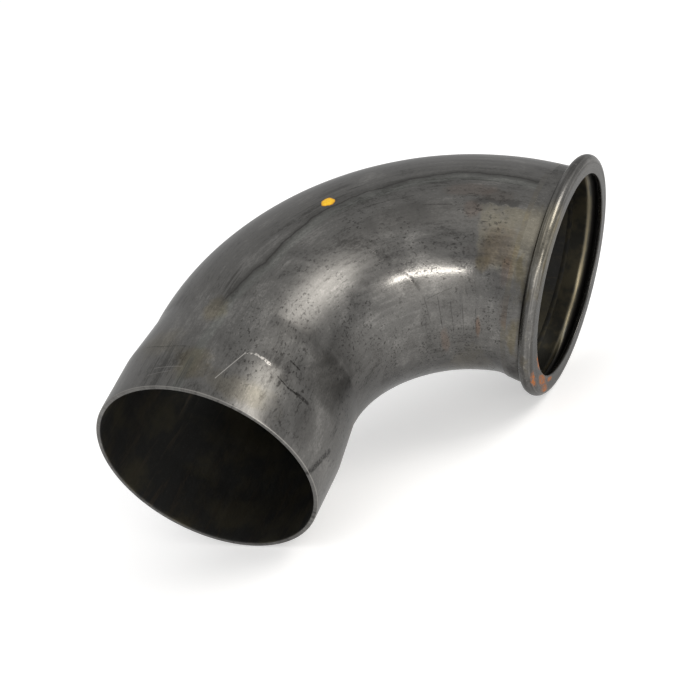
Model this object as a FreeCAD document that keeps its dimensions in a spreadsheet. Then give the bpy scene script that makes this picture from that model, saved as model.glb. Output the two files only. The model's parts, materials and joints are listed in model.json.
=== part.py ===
"""Truck exhaust elbow: a 90 degree bent tube with an expanded slip collar on one
end and a rolled clamp flange butt-welded to the other, all in millimetres.

The row frame has its origin at the centre of the clamp flange's sealing face.
+X is the flange's axis, pointing out of the elbow; the slip collar opens towards
-Y; the bend lies in the XY plane and +Z is up.
"""
import FreeCAD, Part
import math
import os
import Sketcher
from FreeCAD import Placement, Rotation, Vector

# The dimensions that drive the model: alias, value, meaning.
DRIVING_SIZES = [
    ("tube_od", 127.0, "outside diameter of the bent tube"),
    ("wall", 2.7, "wall of the tube and of the rolled flange"),
    ("bend_radius", 127.0, "centreline radius of the bend"),
    ("bend_angle", 90.0, "angle of the bend, degrees"),
    ("collar_bore", 128.6, "inside diameter of the slip collar"),
    ("collar_length", 34.4, "straight length of the slip collar"),
    ("shoulder_length", 37.0, "length of the shoulder from the collar to the bend"),
    ("shoulder_arc", 50.0, "radius of the two soft corners of the shoulder"),
    ("weld_width", 3.0, "width of the butt weld along the flange's axis"),
    ("weld_crown", 0.25, "how far the weld stands proud, outside and inside"),
    ("flange_reach", 21.2, "from the end of the bend to the sealing face"),
    ("bead_od", 145.0, "outside diameter of the clamp bead"),
    ("bead_width", 8.8, "width of the clamp bead along its axis"),
    ("valley_arc", 2.0, "radius of the hollow corner between the neck and the bead"),
    ("lip_bore", 121.3, "inside diameter of the sealing face"),
    ("paint_turn", 51.8, "angle of the paint mark along the bend, degrees from the flange"),
    ("paint_lean", 77.2, "angle of the paint mark round the tube, degrees from the outside"),
    ("paint_length", 7.6, "size of the paint mark along the tube"),
    ("paint_breadth", 7.6, "size of the paint mark across the tube"),
    ("paint_film", 0.2, "thickness of the paint"),
]

# Values worked out from the driving sizes: alias, formula.
DERIVED_SIZES = [
    ("tube_radius", "=Sizes.tube_od / 2"),
    ("bore_radius", "=Sizes.tube_od / 2 - Sizes.wall"),
    ("collar_bore_radius", "=Sizes.collar_bore / 2"),
    ("collar_radius", "=Sizes.collar_bore / 2 + Sizes.wall"),
    ("collar_mouth", "=Sizes.collar_length + Sizes.shoulder_length"),
    # The shoulder is a shallow cone between two equal arcs, each tangent to it.
    ("shoulder_step", "=collar_radius - tube_radius"),
    ("centre_drop", "=2 * Sizes.shoulder_arc - shoulder_step"),
    ("centre_gap", "=sqrt(Sizes.shoulder_length ^ 2 + centre_drop ^ 2)"),
    ("cone_slope", "=asin(2 * Sizes.shoulder_arc / centre_gap) - atan(centre_drop / Sizes.shoulder_length)"),
    ("arc_run", "=Sizes.shoulder_arc * sin(cone_slope)"),
    ("arc_rise", "=Sizes.shoulder_arc * (1 - cos(cone_slope))"),
    ("cone_start", "=arc_run"),
    ("cone_end", "=Sizes.shoulder_length - arc_run"),
    # Radii measured from the bend's axis, where the collar is sketched.
    ("collar_axis", "=Sizes.bend_radius"),
    ("tube_side", "=collar_axis + tube_radius"),
    ("bore_side", "=collar_axis + bore_radius"),
    ("cone_start_side", "=tube_side + arc_rise"),
    ("cone_start_bore_side", "=bore_side + arc_rise"),
    ("collar_side", "=collar_axis + collar_radius"),
    ("collar_bore_side", "=collar_axis + collar_bore_radius"),
    ("cone_end_side", "=collar_side - arc_rise"),
    ("cone_end_bore_side", "=collar_bore_side - arc_rise"),
    # The flange's section: a straight neck, then a corner arc tangent to neck and bead.
    ("lip_radius", "=Sizes.lip_bore / 2"),
    ("bead_arc", "=Sizes.bead_width / 2"),
    ("groove_arc", "=bead_arc - Sizes.wall"),
    ("bead_station", "=Sizes.flange_reach - bead_arc"),
    ("bead_crest", "=Sizes.bead_od / 2"),
    ("bead_centre", "=bead_crest - bead_arc"),
    ("groove_crest", "=bead_centre + groove_arc"),
    ("lip_back", "=Sizes.flange_reach - Sizes.wall"),
    ("throat_arc", "=Sizes.valley_arc + Sizes.wall"),
    ("corner_centre", "=tube_radius + Sizes.valley_arc"),
    ("corner_lift", "=bead_centre - corner_centre"),
    ("arc_sum", "=Sizes.valley_arc + bead_arc"),
    ("corner_run", "=sqrt(arc_sum ^ 2 - corner_lift ^ 2)"),
    ("neck_end", "=bead_station - corner_run"),
    ("outer_share", "=Sizes.valley_arc / arc_sum"),
    ("inner_share", "=throat_arc / arc_sum"),
    ("valley_station", "=neck_end + outer_share * corner_run"),
    ("valley_radius", "=corner_centre + outer_share * corner_lift"),
    ("throat_station", "=neck_end + inner_share * corner_run"),
    ("throat_radius", "=corner_centre + inner_share * corner_lift"),
    ("weld_arc", "=((Sizes.weld_width / 2) ^ 2 + Sizes.weld_crown ^ 2) / (2 * Sizes.weld_crown)"),
    ("paint_skin", "=tube_radius + Sizes.paint_film"),
]

VOLUME_TOLERANCE = 0.002


def make_sheet(doc, name, rows):
    """A sheet with one row to each size: alias in A, value in B."""
    sheet = doc.addObject("Spreadsheet::Sheet", name)
    for number, row in enumerate(rows, start=1):
        sheet.set(f"A{number}", row[0])
        sheet.set(f"B{number}", str(row[1]))
        sheet.setAlias(f"B{number}", row[0])
        if len(row) > 2:
            sheet.set(f"C{number}", row[2])
    doc.recompute()
    return sheet


def reference(alias):
    """The expression that names a cell of either sheet."""
    driving = [row[0] for row in DRIVING_SIZES]
    return f"Sizes.{alias}" if alias in driving else f"Derived.{alias}"


def size(doc, alias):
    """The present value of a cell of either sheet, as a plain number."""
    sheet, cell = reference(alias).split(".")
    return float(doc.getObject(sheet).get(cell))


def make_body(doc, label):
    body = doc.addObject("PartDesign::Body", label)
    body.Label = label
    return body


def make_sketch(body, name, plane):
    """A sketch on one of the body's own origin planes."""
    sketch = body.newObject("Sketcher::SketchObject", name)
    role = [item for item in body.Origin.OriginFeatures if item.Role == plane]
    sketch.AttachmentSupport = [(role[0], "")]
    sketch.MapMode = "FlatFace"
    return sketch


def bind(sketch, constraint, alias):
    """Add a constraint and tie its value to a cell."""
    number = sketch.addConstraint(constraint)
    name = f"{alias}_{number}"
    sketch.renameConstraint(number, name)
    sketch.setExpression(f"Constraints.{name}", reference(alias))


def pin_point(sketch, edge, end, across, along):
    """Hold one end of an edge at two named distances from the sketch's origin."""
    doc = sketch.Document
    for kind, alias in (("DistanceX", across), ("DistanceY", along)):
        if alias is None:
            point_on = -2 if kind == "DistanceX" else -1
            sketch.addConstraint(Sketcher.Constraint("PointOnObject", edge, end, point_on))
        else:
            constraint = Sketcher.Constraint(kind, -1, 1, edge, end, size(doc, alias))
            bind(sketch, constraint, alias)


def arc_between(start, end, radius, centre_left):
    """The short arc of a given radius from start to end, always drawn counterclockwise."""
    chord = end - start
    sideways = Vector(-chord.y, chord.x, 0).normalize()
    if not centre_left:
        sideways = sideways * -1
        start, end = end, start
    offset = math.sqrt(radius ** 2 - chord.Length ** 2 / 4)
    centre = (start + end) / 2 + sideways * offset
    angles = [math.atan2(place.y - centre.y, place.x - centre.x) for place in (start, end)]
    if angles[1] < angles[0]:
        angles[1] += 2 * math.pi
    return Part.ArcOfCircle(Part.Circle(centre, Vector(0, 0, 1), radius), *angles)


def draw_profile(sketch, corners):
    """A closed outline. Each corner is (across alias, along alias, edge that leaves it).

    The edge is None for a straight line, or (radius alias, centre is on the left).
    """
    doc = sketch.Document
    places = []
    for across, along, _ in corners:
        x = 0.0 if across is None else size(doc, across)
        y = 0.0 if along is None else size(doc, along)
        places.append(Vector(x, y, 0))
    for index, (across, along, shape) in enumerate(corners):
        start = places[index]
        end = places[(index + 1) % len(places)]
        if shape is None:
            sketch.addGeometry(Part.LineSegment(start, end), False)
        else:
            sketch.addGeometry(arc_between(start, end, size(doc, shape[0]), shape[1]), False)
    for index, (across, along, shape) in enumerate(corners):
        following = (index + 1) % len(corners)
        sketch.addConstraint(Sketcher.Constraint(
            "Coincident", index, edge_end(shape), following, edge_start(corners[following][2])))
        pin_point(sketch, index, edge_start(shape), across, along)
        if shape is not None:
            bind(sketch, Sketcher.Constraint("Radius", index, size(doc, shape[0])), shape[0])


def edge_start(shape):
    """The vertex where an edge starts: an arc with its centre on the right runs backwards."""
    return 1 if shape is None or shape[1] else 2


def edge_end(shape):
    return 3 - edge_start(shape)


def revolve(body, sketch, name, axis, angle_alias=None, backwards=False):
    """Turn a sketch about one of its axes, a full turn unless an angle is named."""
    feature = body.newObject("PartDesign::Revolution", name)
    feature.Profile = sketch
    feature.ReferenceAxis = (sketch, [axis])
    feature.Reversed = backwards
    feature.Angle = 360.0
    if angle_alias is not None:
        feature.setExpression("Angle", reference(angle_alias))
    sketch.Visibility = False
    return feature


def make_elbow_tube(doc):
    """The bent tube with its shoulder and slip collar, one piece of tube.

    Its own frame has the bend's axis on Z; the tube runs from -Y, the flange's end,
    round to +X, and the collar then opens towards +Y.
    """
    body = make_body(doc, "elbow_tube")
    ring = make_sketch(body, "tube_section", "XZ_Plane")
    for number, alias in enumerate(("tube_radius", "bore_radius")):
        centre = Vector(size(doc, "bend_radius"), 0, 0)
        ring.addGeometry(Part.Circle(centre, Vector(0, 0, 1), size(doc, alias)), False)
        pin_point(ring, number, 3, "bend_radius", None)
        bind(ring, Sketcher.Constraint("Radius", number, size(doc, alias)), alias)
    revolve(body, ring, "bend", "V_Axis", "bend_angle", backwards=True)

    collar = make_sketch(body, "collar_section", "XY_Plane")
    hollow_corner = ("shoulder_arc", False)
    round_corner = ("shoulder_arc", True)
    draw_profile(collar, [
        ("bore_side", None, None),
        ("tube_side", None, hollow_corner),
        ("cone_start_side", "cone_start", None),
        ("cone_end_side", "cone_end", round_corner),
        ("collar_side", "shoulder_length", None),
        ("collar_side", "collar_mouth", None),
        ("collar_bore_side", "collar_mouth", None),
        ("collar_bore_side", "shoulder_length", hollow_corner),
        ("cone_end_bore_side", "cone_end", None),
        ("cone_start_bore_side", "cone_start", round_corner),
    ])
    start = Vector(size(doc, "collar_axis"), 0, 0)
    end = start + Vector(0, size(doc, "collar_mouth"), 0)
    line = collar.addGeometry(Part.LineSegment(start, end), True)
    pin_point(collar, line, 1, "collar_axis", None)
    pin_point(collar, line, 2, "collar_axis", "collar_mouth")
    revolve(body, collar, "collar", "Axis0")

    body.Placement = Placement(Vector(0, 0, 0), Rotation(Vector(0, 0, 1), 180))
    body.setExpression("Placement.Base.x", "-Sizes.flange_reach")
    body.setExpression("Placement.Base.y", "-Sizes.bend_radius")
    return body


def make_turned_body(doc, label, corners):
    """A ring on the flange's axis, sketched with stations measured from the end of the bend."""
    body = make_body(doc, label)
    section = make_sketch(body, f"{label}_section", "XY_Plane")
    draw_profile(section, corners)
    revolve(body, section, f"{label}_ring", "H_Axis")
    body.setExpression("Placement.Base.x", "-Sizes.flange_reach")
    return body


def make_flange_weld(doc):
    """The butt weld between the tube's cut end and the flange's neck."""
    return make_turned_body(doc, "flange_weld", [
        (None, "bore_radius", ("weld_arc", True)),
        ("weld_width", "bore_radius", None),
        ("weld_width", "tube_radius", ("weld_arc", True)),
        (None, "tube_radius", None),
    ])


def make_clamp_flange(doc):
    """The rolled ring: straight neck, hollow round bead and flat sealing face."""
    return make_turned_body(doc, "clamp_flange", [
        ("weld_width", "tube_radius", None),
        ("weld_width", "bore_radius", None),
        ("neck_end", "bore_radius", ("throat_arc", True)),
        ("throat_station", "throat_radius", ("groove_arc", False)),
        ("bead_station", "groove_crest", ("groove_arc", False)),
        ("lip_back", "bead_centre", None),
        ("lip_back", "lip_radius", None),
        ("flange_reach", "lip_radius", None),
        ("flange_reach", "bead_centre", ("bead_arc", True)),
        ("bead_station", "bead_crest", ("bead_arc", True)),
        ("valley_station", "valley_radius", ("valley_arc", False)),
        ("neck_end", "tube_radius", None),
    ])


def make_paint_mark(doc):
    """The inspector's dab of paint, a thin film on the crown of the bend."""
    skins = []
    for name, alias in (("paint_outside", "paint_skin"), ("paint_inside", "tube_radius")):
        skin = doc.addObject("Part::Torus", name)
        skin.setExpression("Radius1", reference("bend_radius"))
        skin.setExpression("Radius2", reference(alias))
        skins.append(skin)
    film = doc.addObject("Part::Cut", "paint_skin_shell")
    film.Base, film.Tool = skins

    blob = doc.addObject("Part::Ellipsoid", "paint_outline")
    blob.setExpression("Radius1", "Sizes.paint_breadth / 2")
    blob.setExpression("Radius2", "Sizes.paint_breadth / 2")
    blob.setExpression("Radius3", "Sizes.paint_length / 2")
    reach = "(Sizes.bend_radius + Derived.tube_radius * cos(Sizes.paint_lean * 1 deg))"
    blob.setExpression("Placement.Base.x", f"-{reach} * sin(Sizes.paint_turn * 1 deg)")
    blob.setExpression("Placement.Base.y", f"{reach} * cos(Sizes.paint_turn * 1 deg)")
    blob.setExpression("Placement.Base.z", "Derived.tube_radius * sin(Sizes.paint_lean * 1 deg)")
    blob.setExpression("Placement.Rotation.Angle", "(90 + Sizes.paint_turn) * 1 deg")

    mark = doc.addObject("Part::Common", "paint_mark")
    mark.Label = "paint_mark"
    mark.Base = film
    mark.Tool = blob
    mark.setExpression("Placement.Base.x", "-Sizes.flange_reach")
    mark.setExpression("Placement.Base.y", "-Sizes.bend_radius")
    return mark


def ring_volume(radius_out, radius_in, length):
    return math.pi * (radius_out ** 2 - radius_in ** 2) * length


def check_volumes(doc, pieces):
    """Compare the tube and the weld with their sections times their lengths."""
    outer = size(doc, "tube_radius")
    inner = size(doc, "bore_radius")
    bend_length = math.radians(size(doc, "bend_angle")) * size(doc, "bend_radius")
    collar = ring_volume(size(doc, "collar_radius"), size(doc, "collar_bore_radius"),
                         size(doc, "collar_length"))
    middle_rise = size(doc, "shoulder_step") / 2
    shoulder = ring_volume(outer + middle_rise, inner + middle_rise, size(doc, "shoulder_length"))
    expected = ring_volume(outer, inner, bend_length) + collar + shoulder
    found = pieces["elbow_tube"].Shape.Volume
    if abs(found - expected) > VOLUME_TOLERANCE * expected:
        raise RuntimeError(f"elbow_tube holds {found:.0f} mm3, not {expected:.0f}")
    if pieces["flange_weld"].Shape.Volume < ring_volume(outer, inner, size(doc, "weld_width")):
        raise RuntimeError("flange_weld is hollowed instead of crowned")


def check_document(doc, pieces):
    for item in doc.Objects:
        if "Invalid" in item.State or "Error" in item.State:
            raise RuntimeError(f"{item.Label} failed to build: {item.State}")
    for label, piece in pieces.items():
        if piece.Shape.isNull() or not piece.Shape.isValid():
            raise RuntimeError(f"{label} has no valid shape")
        if len(piece.Shape.Solids) != 1:
            raise RuntimeError(f"{label} is {len(piece.Shape.Solids)} solids, not one")
    check_volumes(doc, pieces)


def main():
    doc = FreeCAD.newDocument("exhaust_elbow")
    make_sheet(doc, "Sizes", DRIVING_SIZES)
    make_sheet(doc, "Derived", DERIVED_SIZES)
    makers = (make_elbow_tube, make_flange_weld, make_clamp_flange, make_paint_mark)
    pieces = {}
    for maker in makers:
        piece = maker(doc)
        pieces[piece.Label] = piece
    doc.recompute()
    check_document(doc, pieces)

    os.makedirs("parts", exist_ok=True)
    for label, piece in pieces.items():
        piece.Shape.exportStep(f"parts/{label}.step")
        box = piece.Shape.optimalBoundingBox()
        print(f"{label}: {piece.Shape.Volume:.0f} mm3, x {box.XMin:.1f} to {box.XMax:.1f},"
              f" y {box.YMin:.1f} to {box.YMax:.1f}, z {box.ZMin:.1f} to {box.ZMax:.1f}")


main()
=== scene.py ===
"""Looks of a truck exhaust elbow: bare bent tube, rolled clamp flange, weld and paint mark.

Metres, in the CAD frame. Everything is placed along the elbow: "run" is the distance
from the tube's flange end along its centreline (negative in the flange), and "turn" is
the angle round the tube, 0 on the outside of the bend, 90 degrees on the crown (+Z)
and 180 degrees on the inside.
"""
import json
import math

import bmesh
import bpy
import numpy as np
from mathutils import Matrix, Vector


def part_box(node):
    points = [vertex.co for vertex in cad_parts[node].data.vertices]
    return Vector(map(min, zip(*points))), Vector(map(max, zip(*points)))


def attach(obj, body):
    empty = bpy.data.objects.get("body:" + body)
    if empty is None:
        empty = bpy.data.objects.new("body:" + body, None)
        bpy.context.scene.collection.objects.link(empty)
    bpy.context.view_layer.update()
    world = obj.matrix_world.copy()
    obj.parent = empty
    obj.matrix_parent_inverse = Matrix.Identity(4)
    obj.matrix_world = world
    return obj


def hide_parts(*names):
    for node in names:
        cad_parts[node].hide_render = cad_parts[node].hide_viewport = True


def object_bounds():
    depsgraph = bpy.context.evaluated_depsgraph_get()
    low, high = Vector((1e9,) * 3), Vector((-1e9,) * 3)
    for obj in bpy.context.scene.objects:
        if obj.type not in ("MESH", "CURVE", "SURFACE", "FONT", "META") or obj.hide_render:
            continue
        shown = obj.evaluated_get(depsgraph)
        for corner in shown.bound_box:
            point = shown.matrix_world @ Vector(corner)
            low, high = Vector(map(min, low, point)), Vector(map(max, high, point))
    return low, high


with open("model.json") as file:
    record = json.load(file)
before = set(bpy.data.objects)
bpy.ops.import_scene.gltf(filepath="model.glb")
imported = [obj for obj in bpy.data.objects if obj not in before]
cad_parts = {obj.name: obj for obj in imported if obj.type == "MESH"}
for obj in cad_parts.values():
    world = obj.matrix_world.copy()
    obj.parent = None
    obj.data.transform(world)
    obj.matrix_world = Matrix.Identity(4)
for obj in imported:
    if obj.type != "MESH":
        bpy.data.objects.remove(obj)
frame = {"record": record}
CAD_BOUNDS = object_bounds()
MM = 0.001

# ---------------------------------------------------------------- sizes from the frame
MOUNTS = {mount["name"]: mount for mount in frame["record"]["mounts"]}
_, TUBE_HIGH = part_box("elbow_tube")
_, RING_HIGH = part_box("clamp_flange")
WELD_LOW, WELD_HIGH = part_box("flange_weld")

REACH = -TUBE_HIGH.x
TUBE_R = TUBE_HIGH.y
COLLAR_R = TUBE_HIGH.z
COLLAR_BORE = MOUNTS["slip_collar"]["dims"]["r_mm"] * MM
COLLAR_LENGTH = MOUNTS["slip_collar"]["dims"]["length_mm"] * MM
WALL = COLLAR_R - COLLAR_BORE
BEND_R = -MOUNTS["slip_collar"]["pos_m"][0] - REACH
BEND_RUN = BEND_R * math.pi / 2
MOUTH_RUN = BEND_RUN - MOUNTS["slip_collar"]["pos_m"][1] - BEND_R
SHOULDER = MOUTH_RUN - BEND_RUN - COLLAR_LENGTH
WELD_WIDTH = WELD_HIGH.x - WELD_LOW.x
BEAD_R = RING_HIGH.z
BEAD_ARC = MOUNTS["clamp_bead"]["dims"]["length_mm"] * MM / 2
LIP_R = MOUNTS["flange_bore"]["dims"]["r_mm"] * MM
# Corner radii the frame doesn't give: the shoulder's ends and the bead's hollow root.
SHOULDER_ARC = 50 * MM
VALLEY_ARC = 2 * MM

# Every swept piece has a point for each degree round it.
COLUMNS = 360
TURNS = np.arange(COLUMNS) * 2 * math.pi / COLUMNS
# The ring's section has points no further apart than this.
SECTION_STEP = 0.5 * MM
# Each cut end has a row of points this far from its corner, so that it shades crisply.
EDGE_ROW = 0.02 * MM
# The rounding of the cut rim and of the lip, and how far the mouth is out of round.
RIM_ARC = 0.7 * MM
LIP_ARC = 0.5 * MM
OUT_OF_ROUND = 0.25 * MM
# The weld's height outside and inside, and the ripples along it.
WELD_CROWN = 0.005 * MM
WELD_ROOT = 0.12 * MM
DRESSED_RIPPLE = 0.001 * MM
ROOT_RIPPLE = 0.03 * MM
RIPPLE_COUNT = 130
# How far the lip's opening lies off the ring's centre, and the turn it leans towards.
LIP_SHIFT = 1.3 * MM
LIP_SHIFT_TURN = math.radians(50)
# How far the neck swells, low on the inside of the bend, and the turn where it's most.
SWELL = 3.2 * MM
SWELL_TURN = math.radians(232)

# The ring's section, as distances from the tube's end: the bead's centre, the centre of
# the hollow corner before it, and where the straight neck ends.
BEAD_STATION = REACH - BEAD_ARC
BEAD_CENTRE = BEAD_R - BEAD_ARC
CORNER_CENTRE = TUBE_R + VALLEY_ARC
CORNER_LIFT = BEAD_CENTRE - CORNER_CENTRE
NECK_END = BEAD_STATION - math.sqrt((VALLEY_ARC + BEAD_ARC) ** 2 - CORNER_LIFT ** 2)

# ---------------------------------------------------------------- camera
CAMERA_AZIMUTH = 25.94
CAMERA_ELEVATION = 48.72
CAMERA_ROLL = -6.26
CAMERA_DISTANCE = 1.52711
CAMERA_LENS = 140.19
# Where the optical axis passes the centre of the bend, to the left and above it.
CAMERA_ASIDE = -63.35 * MM
CAMERA_ABOVE = 43.77 * MM


def make_camera():
    """The camera looks down on the collar's mouth from the front, a little to the right."""
    azimuth = math.radians(CAMERA_AZIMUTH)
    elevation = math.radians(CAMERA_ELEVATION)
    back = Vector((math.sin(azimuth) * math.cos(elevation),
                   -math.cos(azimuth) * math.cos(elevation),
                   math.sin(elevation)))
    right = Vector((math.cos(azimuth), math.sin(azimuth), 0))
    up = back.cross(right)
    roll = Matrix.Rotation(math.radians(CAMERA_ROLL), 3, back)
    right, up = roll @ right, roll @ up
    data = bpy.data.cameras.new("camera")
    data.lens = CAMERA_LENS
    data.sensor_width = 36
    data.clip_start = 0.05
    data.clip_end = 50
    camera = bpy.data.objects.new("camera", data)
    bpy.context.scene.collection.objects.link(camera)
    bend_centre = Vector((-REACH, -BEND_R, 0))
    place = bend_centre + back * CAMERA_DISTANCE + right * CAMERA_ASIDE + up * CAMERA_ABOVE
    turned = Matrix((right, up, back)).transposed().to_4x4()
    camera.matrix_world = Matrix.Translation(place) @ turned
    bpy.context.scene.camera = camera


# ---------------------------------------------------------------- shape helpers
def smooth(value, low, high):
    """0 below low, 1 above high, and an even S between."""
    t = np.clip((np.asarray(value, float) - low) / (high - low), 0, 1)
    return t * t * (3 - 2 * t)


def bump(value, centre, width):
    """A bell of height 1 at the centre, about twice the width across."""
    return np.exp(-((value - centre) / width) ** 2)


def angle_gap(turn, centre):
    """How far round the tube a turn lies from a centre, in degrees, -180 to 180."""
    return (np.degrees(turn) - centre + 180) % 360 - 180


def waves(seed, run, turn, run_step, turn_step, layers=4):
    """Soft seeded unevenness of about unit size, periodic round the tube."""
    random = np.random.default_rng(seed)
    total = np.zeros(np.broadcast(run, turn).shape)
    for layer in range(layers):
        for _ in range(5):
            round_count = random.integers(0, 1 + int(2 ** layer * 360 / turn_step))
            length = run_step / 2 ** layer * random.uniform(0.7, 1.5)
            shift, spin = random.uniform(0, 2 * math.pi, 2)
            total += (np.sin(2 * math.pi * run / length + shift)
                      * np.cos(round_count * turn + spin) / 2 ** layer)
    return total / 3.2


def place_on_path(run, turn, radius):
    """Points at a run, turn and radius from the centreline, as an array of x, y, z."""
    run, turn, radius = np.broadcast_arrays(run, turn, radius)
    bend = np.clip(run, 0, BEND_RUN) / BEND_R
    past_mouth = np.clip(run - BEND_RUN, 0, None)
    before = np.clip(-run, 0, None)
    outward_x, outward_y = -np.sin(bend), np.cos(bend)
    reach = BEND_R + radius * np.cos(turn)
    x = -REACH + outward_x * reach + before
    y = -BEND_R + outward_y * reach - past_mouth
    z = radius * np.sin(turn)
    return np.stack([x, y, z], axis=-1)


def shoulder_rise(run):
    """How far the tube has opened out towards the collar: a cone with two soft corners."""
    step = COLLAR_R - TUBE_R
    slope = (SHOULDER - math.sqrt(SHOULDER ** 2 - 4 * SHOULDER_ARC * step)) / (2 * SHOULDER_ARC)
    along = np.clip(np.asarray(run, float) - BEND_RUN, 0, SHOULDER)
    corner = SHOULDER_ARC * slope
    start = np.clip(along, 0, corner)
    middle = np.clip(along - corner, 0, SHOULDER - 2 * corner)
    end = np.clip(along - SHOULDER + corner, 0, corner)
    return (start ** 2 / (2 * SHOULDER_ARC) + slope * middle
            + slope * end - end ** 2 / (2 * SHOULDER_ARC))


def neck_swell(run, turn):
    """The neck swells low on the inside of the bend and fills the bead's root there."""
    low_inside = smooth(np.cos(turn - SWELL_TURN), 0.52, 0.97)
    near_ring = smooth(-run, -16 * MM, 11 * MM) ** 1.5
    past_root = 1 - smooth(-run, REACH - 2 * BEAD_ARC - 0.5 * MM, REACH - BEAD_ARC)
    return SWELL * low_inside * near_ring * past_root


# A short slanting fold in the burnished side: its centre, and run lost per distance round.
FOLD_RUN, FOLD_TURN, FOLD_SLANT = 88 * MM, 138, 0.72

# Small wrinkles across the inside of the bend: run and height, in mm.
WRINKLES = ((80, 0.20), (67, 0.13), (54, 0.22), (42, 0.26), (28, 0.22), (15, 0.14))

# The tube's own weld seam wanders along the crown: runs in mm, and turns in degrees.
SEAM_RUNS = (-20, -3, 38, 64, 117, 150, 169, 186, 201, 275)
SEAM_TURNS = (80.3, 80.3, 78.6, 80.4, 82.5, 85.0, 86.5, 84.0, 80.3, 78.0)


def seam_offset(run, turn):
    """Distance round the tube from the wandering weld seam, positive towards the inside."""
    run = np.asarray(run, float)
    centre = np.interp(run, np.array(SEAM_RUNS) * MM, SEAM_TURNS)
    wander = (0.5 * np.sin(run / (11 * MM)) + 0.35 * np.sin(run / (4.3 * MM) + 1)
              + 0.2 * np.sin(run / (1.9 * MM))) * MM
    return np.radians(angle_gap(turn, centre)) * TUBE_R - wander


def tube_relief(run, turn):
    """Marks that bending and expanding left in the tube's outer surface."""
    relief = 0.07 * MM * waves(11, run, turn, 95 * MM, 150, 3)
    # Faint flats drawn lengthwise by the bending tools.
    relief += 0.02 * MM * waves(23, run / 9, turn, 30 * MM, 14, 3)
    inside = smooth(-np.cos(turn), 0.80, 0.95)
    for centre, height in WRINKLES:
        lean = 2.5 * MM * np.sin(turn * 2 + centre)
        relief += height * MM * inside * bump(run + lean, centre * MM, 2.2 * MM)
    # The seam on the crown: a shallow step with a groove beside it.
    across = seam_offset(run, turn)
    relief += 0.07 * MM * smooth(across, -0.8 * MM, 0.8 * MM) * bump(across, 0, 14 * MM)
    relief -= 0.09 * MM * bump(across, -0.2 * MM, 0.7 * MM)
    # A short fold across the burnished side.
    fold_turn = angle_gap(turn, FOLD_TURN)
    along = run - FOLD_RUN + FOLD_SLANT * np.radians(fold_turn) * TUBE_R
    relief -= 0.10 * MM * bump(along, 0, 1.5 * MM) * bump(fold_turn, 0, 5)
    # A ring that the expanding mandrel left at the start of the shoulder.
    relief -= 0.06 * MM * bump(run, BEND_RUN + 0.5 * MM, 2.5 * MM)
    # Soft grip flats of the expanding segments on the collar.
    on_collar = smooth(run, BEND_RUN + SHOULDER * 0.5, BEND_RUN + SHOULDER)
    relief += 0.04 * MM * on_collar * np.cos(12 * turn + 0.7)
    return relief * smooth(run, 0, 6 * MM)


# ---------------------------------------------------------------- mesh helpers
def link(name, mesh):
    piece = bpy.data.objects.new(name, mesh)
    bpy.context.scene.collection.objects.link(piece)
    return piece


def closed_sweep(name, runs, radii, relief, cut_rows, section=None):
    """A solid swept round the path: a closed loop of section points (runs, radii).

    relief gives extra radius for every point, cut_rows are the rows of faces that are
    flat cut ends, and section gives the distance along the loop, in metres, for
    textures that run round a ring.
    """
    rows = len(runs)
    run_grid = np.repeat(np.asarray(runs)[:, None], COLUMNS, 1)
    turn_grid = np.repeat(TURNS[None, :], rows, 0)
    radius_grid = np.asarray(radii)[:, None] + relief
    points = place_on_path(run_grid, turn_grid, radius_grid).reshape(-1, 3)
    row = np.arange(rows)[:, None]
    column = np.arange(COLUMNS)[None, :]
    next_row, next_column = (row + 1) % rows, (column + 1) % COLUMNS
    faces = np.stack([row * COLUMNS + column, next_row * COLUMNS + column,
                      next_row * COLUMNS + next_column, row * COLUMNS + next_column], -1)
    mesh = bpy.data.meshes.new(name)
    mesh.from_pydata(points.tolist(), [], faces.reshape(-1, 4).tolist())
    is_smooth = np.ones((rows, COLUMNS), bool)
    is_smooth[cut_rows] = False
    mesh.polygons.foreach_set("use_smooth", is_smooth.ravel())
    along = run_grid if section is None else np.repeat(np.asarray(section)[:, None], COLUMNS, 1)
    straight = np.stack([along, TUBE_R * np.cos(turn_grid), TUBE_R * np.sin(turn_grid)], -1)
    crown_gap = (turn_grid - math.pi / 2 + math.pi) % (2 * math.pi) - math.pi
    unrolled = np.stack([along, crown_gap * TUBE_R, np.zeros_like(along)], -1)
    for label, values in (("straight", straight), ("unrolled", unrolled)):
        layer = mesh.attributes.new(label, "FLOAT_VECTOR", "POINT")
        layer.data.foreach_set("vector", values.astype(np.float32).ravel())
    layer = mesh.attributes.new("off_seam", "FLOAT", "POINT")
    layer.data.foreach_set("value", seam_offset(run_grid, turn_grid).astype(np.float32).ravel())
    fix_normals(mesh)
    return link(name, mesh)


def fix_normals(mesh):
    """Turn every face of a closed mesh outward."""
    work = bmesh.new()
    work.from_mesh(mesh)
    bmesh.ops.recalc_face_normals(work, faces=work.faces)
    work.to_mesh(mesh)
    work.free()
    mesh.update()


def give_materials(piece, outside_rows, outer_material, inner_material):
    """Give the section's first rows of faces one material and the rest another."""
    piece.data.materials.append(outer_material)
    piece.data.materials.append(inner_material)
    materials = (np.arange(len(piece.data.polygons)) >= outside_rows * COLUMNS).astype(np.int32)
    piece.data.polygons.foreach_set("material_index", materials)
    return piece


def arc_points(centre, radius, start, end, count):
    """Section points (run, radius) on an arc, angles in degrees from the +run direction."""
    angles = np.radians(np.linspace(start, end, count))
    return [(centre[0] + radius * math.cos(angle), centre[1] + radius * math.sin(angle))
            for angle in angles]


def dense(points, step):
    """The section's points with more added so that none are further apart than the step."""
    made = []
    for start, end in zip(points, points[1:]):
        count = max(1, math.ceil(math.dist(start, end) / step))
        for index in range(count):
            share = index / count
            made.append((start[0] + (end[0] - start[0]) * share,
                         start[1] + (end[1] - start[1]) * share))
    return made + points[-1:]


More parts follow.
